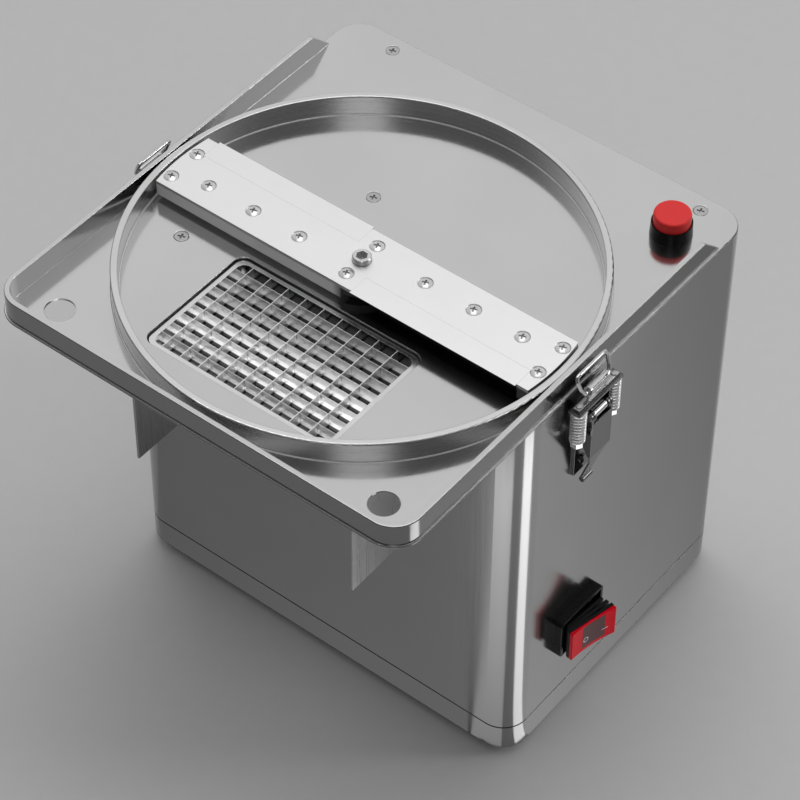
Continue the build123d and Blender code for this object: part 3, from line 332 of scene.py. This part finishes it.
# %% Latch finishes
latch_steel = metal("latch_steel", grey(0.15), 0.16, (1200, 1200, 1200), depth=0.08,
                    edge=0.0005, swing=0.06)
latch_bright = metal("latch_bright", grey(0.56), 0.16, (2600, 200, 2600), depth=0.06,
                     edge=0.0003)
spring_steel = metal("spring_steel", grey(0.92), 0.24, (2600, 2600, 2600), depth=0.06,
                     edge=0.0001)
print("latch finishes:", latch_steel.name, latch_bright.name, spring_steel.name)

# %% [markdown]
# The switch and the button are the only colour on the machine. The button's cap is a soft
# matte red and the rocker a deeper, glossier one. Black parts are almost black with little
# shine, because a moulded skin with a strong shine looks grey beside bright steel.

# %% Plastic and rubber finishes
black_plastic = moulded("black_plastic", (0.007, 0.007, 0.0075), 0.28, depth=0.15,
                        shine_level=0.16)
black_rubber = moulded("black_rubber", (0.009, 0.009, 0.009), 0.5, pebble=1200, depth=0.3,
                       shine_level=0.2)
red_plastic = moulded("red_plastic", (0.92, 0.04, 0.04), 0.45, pebble=900, depth=0.05,
                      edge=0.0006, swing=0.03, shine_level=0.25)
red_gloss = moulded("red_gloss", (0.98, 0.0, 0.018), 0.22, pebble=700, depth=0.04,
                    swing=0.05, shine_level=0.08)
tinted_window = moulded("tinted_window", (0.10, 0.012, 0.014), 0.2, pebble=500, depth=0.04,
                        shine_level=0.3)
white_print = moulded("white_print", grey(0.8), 0.5, swing=0.03)
brass_pin = metal("brass_pin", (0.72, 0.58, 0.34), 0.25, (2200, 60, 2200))
motor_paint = moulded("motor_paint", (0.05, 0.055, 0.06), 0.4, pebble=500, depth=0.3)
print("finishes so far:", len(bpy.data.materials))

# %% [markdown]
# Now each solid gets its finish. The table reads like a parts list: one entry per finish, with
# the solids that wear it. A solid keeps its own mesh; only its material slot changes.

# %% Dress the solids
wears = {
    deck_sheet: ["deck_plate"],
    housing_sheet: ["housing_shell", "base_tray"],
    chute_sheet: ["chute_sides"],
    painted_shade_back: ["chute_back"],
    inner_sheet: ["grid_seat"],
    ring_steel: ["ring_wall"],
    grid_steel: ["grid_frame"],
    strip_steel: ["grid_blades_long", "grid_blades_cross"],
    rotor_satin: ["rotor_top_plate"],
    knife_satin: ["rotor_knives"],
    rotor_body: ["rotor_carrier"],
    bright_screw: ["rotor_screws", "hub_bolt"],
    dull_screw: ["deck_screws", "inlet_screws"],
    shaft_steel: ["spindle_shaft", "motor_shaft", "bearings"],
    gear_steel: ["spindle_gear", "layshaft", "layshaft_gear"],
    cast_metal: ["gear_case", "gear_case_cover", "motor_bells"],
    lamination: ["motor_stator", "motor_armature"],
    motor_paint: ["motor_can"],
    zinc_steel: ["case_nuts", "hidden_screws", "foot_screws"],
    black_rubber: ["feet", "base_gasket", "spindle_seal", "rocker_boot"],
    black_plastic: ["button_collar", "switch_bezel", "switch_body", "inlet_body"],
    red_plastic: ["button_cap"],
    red_gloss: ["rocker"],
    brass_pin: ["inlet_pins"],
    spring_steel: ["button_spring", "latch_springs_right", "latch_springs_left"],
    latch_steel: [part + side for part in ("latch_plate", "latch_lever", "latch_yoke")
                  for side in ("_right", "_left")],
    latch_bright: [part + side for part in ("latch_pins", "latch_rods", "latch_hook")
                   for side in ("_right", "_left")],
}
dressed = set()
for finish, names in wears.items():
    for name in names:
        nodes[name].data.materials.clear()
        nodes[name].data.materials.append(finish)
        dressed.add(name)
print("dressed:", len(dressed), "left bare:", sorted(set(nodes) - dressed))

# %% [markdown]
# A spring is wound from round wire. A curve with a round bevel is the quickest way to draw
# wire: the points give the path, and the bevel gives the thickness and closes the ends. We
# turn it into a mesh at once, so that every piece of the model is of one kind.

# %% Round wire
def put_in_scene(name, data):
    thing = bpy.data.objects.new(name, data)
    bpy.context.scene.collection.objects.link(thing)
    return thing


def round_wire(name, points, radius, smooth=4):
    curve = bpy.data.curves.new(name + "_path", "CURVE")
    curve.dimensions = "3D"
    curve.bevel_depth = radius
    curve.bevel_resolution = smooth
    curve.use_fill_caps = True
    spline = curve.splines.new("POLY")
    spline.points.add(len(points) - 1)
    for spot, point in zip(spline.points, points):
        spot.co = (*point, 1.0)
    guide = put_in_scene(name + "_path", curve)
    graph = bpy.context.evaluated_depsgraph_get()
    mesh = bpy.data.meshes.new_from_object(guide.evaluated_get(graph))
    bpy.data.objects.remove(guide)
    for polygon in mesh.polygons:
        polygon.use_smooth = True
    return put_in_scene(name, mesh)


print("helper ready: round_wire")

# %% [markdown]
# The path of a compression spring is a helix whose last turn at each end lies flat, so that it
# stands square on its seat. The height therefore rises only between the two flat turns. Each
# spring takes its place and its size from the plain coil that it stands for.

# %% Wind a spring
def wound_spring(name, x, y, low, high, outer, wire, turns, body, node):
    flat, spots_a_turn = 0.9, 28
    steps = int(turns * spots_a_turn)
    radius, low, high = outer - wire, low + wire, high - wire
    path = []
    for i in range(steps + 1):
        done = turns * i / steps
        rise = min(max((done - flat) / (turns - 2 * flat), 0.0), 1.0)
        angle = math.tau * done
        path.append((x + radius * math.cos(angle), y + radius * math.sin(angle),
                     low + rise * (high - low)))
    wound = round_wire(name, path, wire)
    wound.data.materials.append(spring_steel)
    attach(wound, body)
    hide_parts(node)
    return wound


print("helper ready: wound_spring")

# %% [markdown]
# Each latch has two springs, one either side of its lever. They sit on the rods of the bail and
# travel with it when the lever opens, so they ride on the bail's body. One node holds both
# springs of a latch; its box gives the coil's radius and the two ends of the pair.

# %% Springs of both latches
latch_wire, latch_turns = 0.56 * MM, 11
for side in ("right", "left"):
    low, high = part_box("latch_springs_" + side)
    outer = (high.x - low.x) / 2
    middle_x = (low.x + high.x) / 2
    for mark, y in (("front", low.y + outer), ("rear", high.y - outer)):
        wound_spring("latch_spring_" + side + "_" + mark, middle_x, y, low.z, high.z, outer,
                     latch_wire, latch_turns, "bail_" + side, "latch_springs_" + side)
    print("springs", side, "outer radius", round(outer / MM, 2), "mm")

# %% [markdown]
# A finger on the red button presses a spring inside the collar. Its spring is wound like the
# latch springs, rides on the machine's body and gets a mesh of its own.

# %% Spring under the button
low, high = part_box("button_spring")
outer = (high.x - low.x) / 2
middle_x, middle_y = (low.x + high.x) / 2, (low.y + high.y) / 2
button_wire, button_turns = 0.6 * MM, 7
wound = wound_spring("button_return_spring", middle_x, middle_y, low.z, high.z, outer,
                     button_wire, button_turns, "machine", "button_spring")
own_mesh(wound)

# %% [markdown]
# The other small pieces all have the same build: a row of closed outlines with a skin from each
# outline to the next, like a tent over its hoops. A turned bead closes on itself; a bar or a
# slab gets a cap at each end. One helper does the skin and another makes a piece of it.

# %% Skin over a row of outlines
def skin_over(outlines, closed=False, tool=None):
    tool = tool or bmesh.new()
    hoops = [[tool.verts.new(spot) for spot in outline] for outline in outlines]
    following = hoops[1:] + hoops[:1] if closed else hoops[1:]
    for one, two in zip(hoops, following):
        for k in range(len(one)):
            after = (k + 1) % len(one)
            tool.faces.new((one[k], one[after], two[after], two[k]))
    if not closed:
        tool.faces.new(hoops[0])
        tool.faces.new(hoops[-1])
    bmesh.ops.recalc_face_normals(tool, faces=tool.faces)
    return tool


def new_piece(name, tool, finish, body, smooth=False):
    mesh = bpy.data.meshes.new(name)
    tool.to_mesh(mesh)
    tool.free()
    for polygon in mesh.polygons:
        polygon.use_smooth = smooth
    mesh.materials.append(finish)
    piece = put_in_scene(name, mesh)
    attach(piece, body)
    return piece


print("helpers ready: skin_over, new_piece")

# %% [markdown]
# A fine bright line runs round the foot of the ring, and we take it for a weld to the deck
# that is dressed to a small round. A five-sided outline is turned about the ring's axis, so
# the line has its own slope that catches the light. Its lower points lie just under the deck's
# surface, so no gap shows. The line inside the ring is made like the one outside.

# %% Dressed weld at the ring's foot
def turned_bead(name, wall, side, leg=0.9 * MM, sunk=0.1 * MM, steps=180):
    profile = [(0, -sunk), (0, leg), (leg * 0.36, leg * 0.42), (leg, sunk / 2), (leg, -sunk)]
    outlines = []
    for i in range(steps):
        angle = math.tau * i / steps
        spots = [(wall + side * out, deck_top + up) for out, up in profile]
        outlines.append([(ring_middle.x + r * math.cos(angle),
                          ring_middle.y + r * math.sin(angle), z) for r, z in spots])
    return new_piece(name, skin_over(outlines, closed=True), weld_bright, "machine", True)


deck_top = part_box("deck_screws")[1].z
ring_outer = (ring_high.x - ring_low.x) / 2
ring_inner = min(math.hypot(v.co.x - ring_middle.x, v.co.y - ring_middle.y)
                 for v in nodes["ring_wall"].data.vertices)
weld_bright = metal("weld_bright", grey(0.8), 0.4, (900, 900, 900), depth=0.05,
                    edge=0.0001, swing=0.02)
OUTWARD, INWARD = 1, -1
turned_bead("ring_weld_outside", ring_outer, OUTWARD)
turned_bead("ring_weld_inside", ring_inner, INWARD)
print("ring radius", round(ring_outer / MM, 2), "and", round(ring_inner / MM, 2),
      "deck top", round(deck_top / MM, 2), "mm")

# %% [markdown]
# Each strip of the grid shows a hair-fine bright line along its top edge, most likely a ground
# flat. The solids end there in an edge a tenth of a millimetre wide, too thin to see, so a slim
# bar will lie on each edge. First we find the edges: the highest vertices of a node fall into
# rows, one row a strip.

# %% Find the strips' edges
def edge_rows(node, across):
    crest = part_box(node)[1].z - 0.01 * MM
    spots = sorted(round(v.co[across], 5) for v in nodes[node].data.vertices
                   if v.co.z > crest)
    rows = []
    for spot in spots:
        if not rows or spot - rows[-1][-1] > 1 * MM:
            rows.append([spot])
        rows[-1].append(spot)
    return [sum(row) / len(row) for row in rows]


ACROSS_X, ACROSS_Y = 0, 1
edges = {"grid_blades_cross": edge_rows("grid_blades_cross", ACROSS_X),
         "grid_blades_long": edge_rows("grid_blades_long", ACROSS_Y)}
print("strips:", {name: len(rows) for name, rows in edges.items()})

# %% [markdown]
# A bar is an outline of four points, narrower at the top, drawn from one end of its strip to
# the other. The cross strips stand on top of the long ones, so their bars run through unbroken
# and are a little broader and higher.

# %% Ground flats on the strips
def edge_bars(name, node, across, half, rise, sunk=0.1 * MM):
    along = 1 - across
    low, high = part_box(node)
    outline = ((-half, -sunk), (half, -sunk), (half * 0.6, rise), (-half * 0.6, rise))
    tool = bmesh.new()
    for spot in edges[node]:
        ends = []
        for end in (low[along], high[along]):
            ends.append([])
            for side, up in outline:
                place = [0.0, 0.0, high.z + up]
                place[across], place[along] = spot + side, end
                ends[-1].append(place)
        skin_over(ends, tool=tool)
    return new_piece(name, tool, edge_bright, "machine")


edge_bright = metal("edge_bright", grey(0.95), 0.5, (900, 900, 900), depth=0.05,
                    edge=0.00005, swing=0.02)
cross_flats = edge_bars("strip_flats_cross", "grid_blades_cross", ACROSS_X,
                        half=0.24 * MM, rise=0.12 * MM)
long_flats = edge_bars("strip_flats_long", "grid_blades_long", ACROSS_Y,
                       half=0.14 * MM, rise=0.04 * MM)
print("faces on the flats:", len(cross_flats.data.polygons), len(long_flats.data.polygons))

# %% [markdown]
# The rocker is a red moulding. Its face is drawn slightly hollow, as most are, so that a finger
# finds its ends. We build it in the rocker's own plane, with height, length and width as its
# three axes, and then turn that plane about the pivot by half the rocker's tilt, as the solid
# is turned at rest.

# %% Plane of the rocker's face
rocker_joint = [joint for joint in frame["joints"] if joint["name"] == "rocker_tilt"][0]
pivot = Vector(rocker_joint["pos_m"])
rest_tilt = 12.6
face_turn = Matrix.Translation(pivot) @ Matrix.Rotation(math.radians(-rest_tilt), 4, "Z")
half_length, half_width = 15.5 * MM, 10.5 * MM
face_middle, face_rise, moulding_foot = 12.1 * MM, 1.4 * MM, 11.1 * MM


def face_height(along):
    return face_middle + face_rise * (along / half_length) ** 2


def slab(start, end, left, right, top, bottom, steps):
    outlines = []
    for i in range(steps + 1):
        along = start + (end - start) * i / steps
        high, low = top(along), bottom(along)
        outlines.append([(high, along, left), (high, along, right),
                         (low, along, right), (low, along, left)])
    tool = skin_over(outlines)
    tool.transform(face_turn)
    return tool


print("pivot at", [round(v / MM, 1) for v in pivot], "mm, tilt", rest_tilt, "degrees")

# %% [markdown]
# The moulding's face is red and glossy, with edges rounded by a Bevel modifier that only acts
# on the sharp ones. Below it a black stem widens towards the face. It stands in for the hinge
# of a real rocker, which doesn't show. The moulding replaces the plain rocker, and the stem is
# an extra.

# %% Rocker moulding and stem
def stem_shape():
    outlines = []
    for up, half_v, half_w in ((0.0, 5.0, 6.0), (7.0, 5.5, 6.2), (11.2, 9.0, 8.0)):
        corners = ((half_v, half_w), (half_v, -half_w), (-half_v, -half_w), (-half_v, half_w))
        outlines.append([(up * MM, v * MM, w * MM) for v, w in corners])
    tool = skin_over(outlines)
    tool.transform(face_turn)
    return tool


moulding = slab(-half_length, half_length, half_width, -half_width,
                face_height, lambda along: moulding_foot, 24)
cap = new_piece("rocker_moulding", moulding, red_gloss, "rocker_set")
stem = new_piece("rocker_stem", stem_shape(), black_plastic, "rocker_set")
soften = cap.modifiers.new("soft_edges", "BEVEL")
soften.width = 0.45 * MM
soften.segments = 3
soften.limit_method = "ANGLE"
soften.angle_limit = math.radians(40)
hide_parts("rocker")
print("rocker pieces:", cap.name, stem.name)

# %% [markdown]
# Over its middle the rocker has a dark tinted window with two generic marks, a ring for off and
# a bar for on. They follow the hollow face and stand a few hundredths of a millimetre proud of
# it, so that they never flicker into it, and their edges lie just below it.

# %% Window and marks on the rocker
def face_patch(start, end, left, right, proud, steps):
    return slab(start, end, left, right, lambda along: face_height(along) + proud,
                lambda along: face_height(along) - 0.2 * MM, steps)


def face_ring(v, w, inner, outer, proud, sunk=0.1 * MM, steps=40):
    outlines = []
    for i in range(steps):
        turn = math.tau * i / steps
        outline = []
        for r, up in ((inner, proud), (outer, proud), (outer, -sunk), (inner, -sunk)):
            along = v + r * math.cos(turn)
            outline.append((face_height(along) + up, along, w + r * math.sin(turn)))
        outlines.append(outline)
    tool = skin_over(outlines, closed=True)
    tool.transform(face_turn)
    return tool


window_proud, mark_proud = 0.06 * MM, 0.12 * MM
window = new_piece("rocker_window", face_patch(-7.1 * MM, 8.7 * MM, -8.0 * MM, 9.0 * MM,
                                               window_proud, 16), tinted_window, "rocker_set")
ring = new_piece("rocker_mark_off", face_ring(-4.6 * MM, -2.2 * MM, 1.25 * MM, 1.9 * MM,
                                              mark_proud), white_print, "rocker_set")
bar = new_piece("rocker_mark_on", face_patch(6.4 * MM, 10.6 * MM, -2.7 * MM, -2.1 * MM,
                                             mark_proud, 4), white_print, "rocker_set")
print("on the rocker's face:", window.name, ring.name, bar.name)

# %% [markdown]
# The camera stands in front, to the right and well above, as the photograph's did. Azimuth and
# elevation place it on a sphere round the point that it looks at, and a long lens keeps the
# sides nearly parallel. A quaternion holds the turn, since one turn from an axis to a
# direction is easier to trust than three angles in a row.

# %% Camera at the photograph's angle
def look(azimuth, elevation, distance, target, roll, lens):
    a, e = math.radians(azimuth), math.radians(elevation)
    back = Vector((math.sin(a) * math.cos(e), -math.cos(a) * math.cos(e), math.sin(e)))
    data = bpy.data.cameras.new("camera")
    data.lens, data.sensor_width = lens, 36.0
    camera = put_in_scene("camera", data)
    camera.rotation_mode = "QUATERNION"
    camera.location = target + back * distance
    turn = Quaternion((0, 0, 1), math.radians(roll))
    camera.rotation_quaternion = (-back).to_track_quat("-Z", "Y") @ turn
    bpy.context.scene.camera = camera
    return camera


camera = look(azimuth=37.99, elevation=46.9, distance=1.5727, roll=0.367, lens=141.06,
              target=Vector((0.04152, -0.03864, 0.2208)))
print("camera at", [round(v, 3) for v in camera.location])

# %% [markdown]
# The floor is a plain pale sheet, large enough to fill every view, with no shine of its own. A
# shiny floor would mirror the reflector cards that come later, and the cards belong only to
# the steel.

# %% Floor
bpy.ops.mesh.primitive_plane_add(size=9.0, location=(0, 0, 0))
floor = bpy.context.object
floor.name = "floor"
paint = moulded("floor_paint", grey(0.72), 0.6, pebble=40, depth=0.02, swing=0.01,
                shine_level=0.0)
floor.data.materials.append(paint)
print("floor:", floor.name, "finish:", paint.name)

# %% [markdown]
# Three softboxes light the set as a small studio would. The large one overhead and a little
# behind gives the deck and rotor their pale tone, a weak one in front opens the shadows, and
# one from the right rear lights the side with the switch.

# %% Softboxes
def softbox(name, place, aim, width, height, watts):
    data = bpy.data.lights.new(name, "AREA")
    data.shape = "RECTANGLE"
    data.size, data.size_y, data.energy = width, height, watts
    lamp = put_in_scene(name, data)
    lamp.location = place
    lamp.rotation_mode = "QUATERNION"
    lamp.rotation_quaternion = (Vector(aim) - Vector(place)).to_track_quat("-Z", "Y")
    return lamp


deck_middle = (0, 0, 0.26)
softbox("top_box", (-0.25, 0.35, 2.1), (0, 0, 0.2), width=1.1, height=1.1, watts=6.5)
softbox("front_box", (1.0, -1.29, 1.97), deck_middle, width=0.7, height=0.7, watts=1.6)
softbox("right_kicker", (1.9, 1.5, 1.25), deck_middle, width=0.5, height=0.5, watts=7)
print("lamps:", [lamp.name for lamp in bpy.data.lights])

# %% [markdown]
# Upright bright metal seen from above shows only what lies low around it. Flat glowing cards
# lie on the floor, out of the camera's sight, and only gloss sees them. A card's brightness
# runs from one end to the other, so it is an emission whose strength follows a direction.
# A fan is a rim drawn between two angles and two distances from the corner of the housing.

# %% Low reflector cards
def glowing_card(name, rim, toward, reach, near, far):
    glow = start_finish(name + "_light")
    place = add(glow, "ShaderNodeTexCoord")
    angle = math.radians(toward)
    along = add(glow, "ShaderNodeVectorMath", operation="DOT_PRODUCT")
    along.inputs[1].default_value = (math.cos(angle), math.sin(angle), 0)
    join(glow, place, "Object", along, 0)
    fade = respan(glow, along, "Value", 0, reach, near, far)
    shine = add(glow, "ShaderNodeEmission")
    out = add(glow, "ShaderNodeOutputMaterial")
    join(glow, fade, "Result", shine, "Strength")
    join(glow, shine, "Emission", out, "Surface")
    tool = bmesh.new()
    tool.faces.new([tool.verts.new((r * math.cos(math.radians(a)),
                                    r * math.sin(math.radians(a)), 0)) for r, a in rim])
    mesh = bpy.data.meshes.new(name)
    tool.to_mesh(mesh)
    tool.free()
    mesh.materials.append(glow)
    card = put_in_scene(name, mesh)
    card.location = (*corner, 2 * MM)
    card.visible_camera = card.visible_diffuse = False
    card.visible_shadow = card.visible_transmission = False


def fan(first, last, near, far, steps=8):
    turn = [first + (last - first) * i / steps for i in range(steps + 1)]
    return [(far, a) for a in turn] + [(near, a) for a in reversed(turn)]


shell_low, shell_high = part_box("housing_shell")
corner_round = 15.5 * MM
corner = (shell_high.x - corner_round, shell_low.y + corner_round)
print("cards start at", [round(v / MM, 1) for v in corner], "mm")

# %% [markdown]
# A narrow fan that starts at the foot of the rounded front corner draws the bright line down
# it, because a mirror image grows narrower towards the foot just as the fan does. A broad fan
# fills the rest of the corner. Two faint sheets of light lift the side wall near the corner
# and the front wall. Each rim is a list of distance and angle from the corner.

# %% Lay the cards
glowing_card("corner_line", fan(-19, 15, near=0.02, far=0.26),
             toward=0, reach=0.2, near=1.5, far=2.8)
glowing_card("corner_band", fan(-122, -54, near=0.02, far=0.24),
             toward=-88, reach=0.2, near=0.5, far=1.5)
side_rim = [(0.02, 17), (0.30, 17), (0.42, 45), (0.46, 62), (0.42, 80), (0.19, 88), (0.02, 88)]
glowing_card("side_sheet", side_rim, toward=142, reach=0.11, near=0.57, far=0.35)
front_rim = [(0.02, -126), (0.276, -126), (0.477, -152), (0.257, -176)]
glowing_card("front_sheet", front_rim, toward=142, reach=0.19, near=0.35, far=0.27)
print("cards: corner_line, corner_band, side_sheet, front_sheet")

# %% [markdown]
# In the photograph the grid's strips are bright on their sides, as if light came up through
# the chute. A slim weak lamp in the mouth of the chute gives that here. It has a narrow spread,
# so it reaches the strips and little else, and the camera can't see it.

# %% Light under the grid
chute_mouth, under_grid = (-0.003, -0.112, 0.209), (-0.003, -0.090, 0.26)
chute_glow = softbox("chute_glow", chute_mouth, under_grid,
                     width=0.15, height=0.02, watts=0.0115)
chute_glow.data.spread = math.radians(60)
chute_glow.visible_camera = False
print("chute lamp:", round(chute_glow.data.energy * 1000, 1), "milliwatts")

# %% [markdown]
# The world is a soft grey that brightens towards the rear and above, like a room with a pale
# wall behind the machine. The deck mirrors that pale side, while the front of the housing
# mirrors the dark one, and that difference is what makes bare sheet look like metal.

# %% World
world = bpy.data.worlds.new("studio")
bpy.context.scene.world = world
world.use_nodes = True
place = add(world, "ShaderNodeTexCoord")
toward = add(world, "ShaderNodeVectorMath", operation="DOT_PRODUCT")
bright_side = Vector((-0.35, 0.75, 0.56)).normalized()
toward.inputs[1].default_value = bright_side
join(world, place, "Generated", toward, 0)
dark_end, pale_end = 0.05, 0.88
dark_grey, pale_grey = 0.14, 0.80
fade = respan(world, toward, "Value", dark_end, pale_end, dark_grey, pale_grey)
fade.interpolation_type = "SMOOTHSTEP"
join(world, fade, "Result", world.node_tree.nodes["Background"], "Color")
bpy.context.scene.view_settings.view_transform = "Standard"
print("world is brightest towards", [round(v, 2) for v in bright_side])
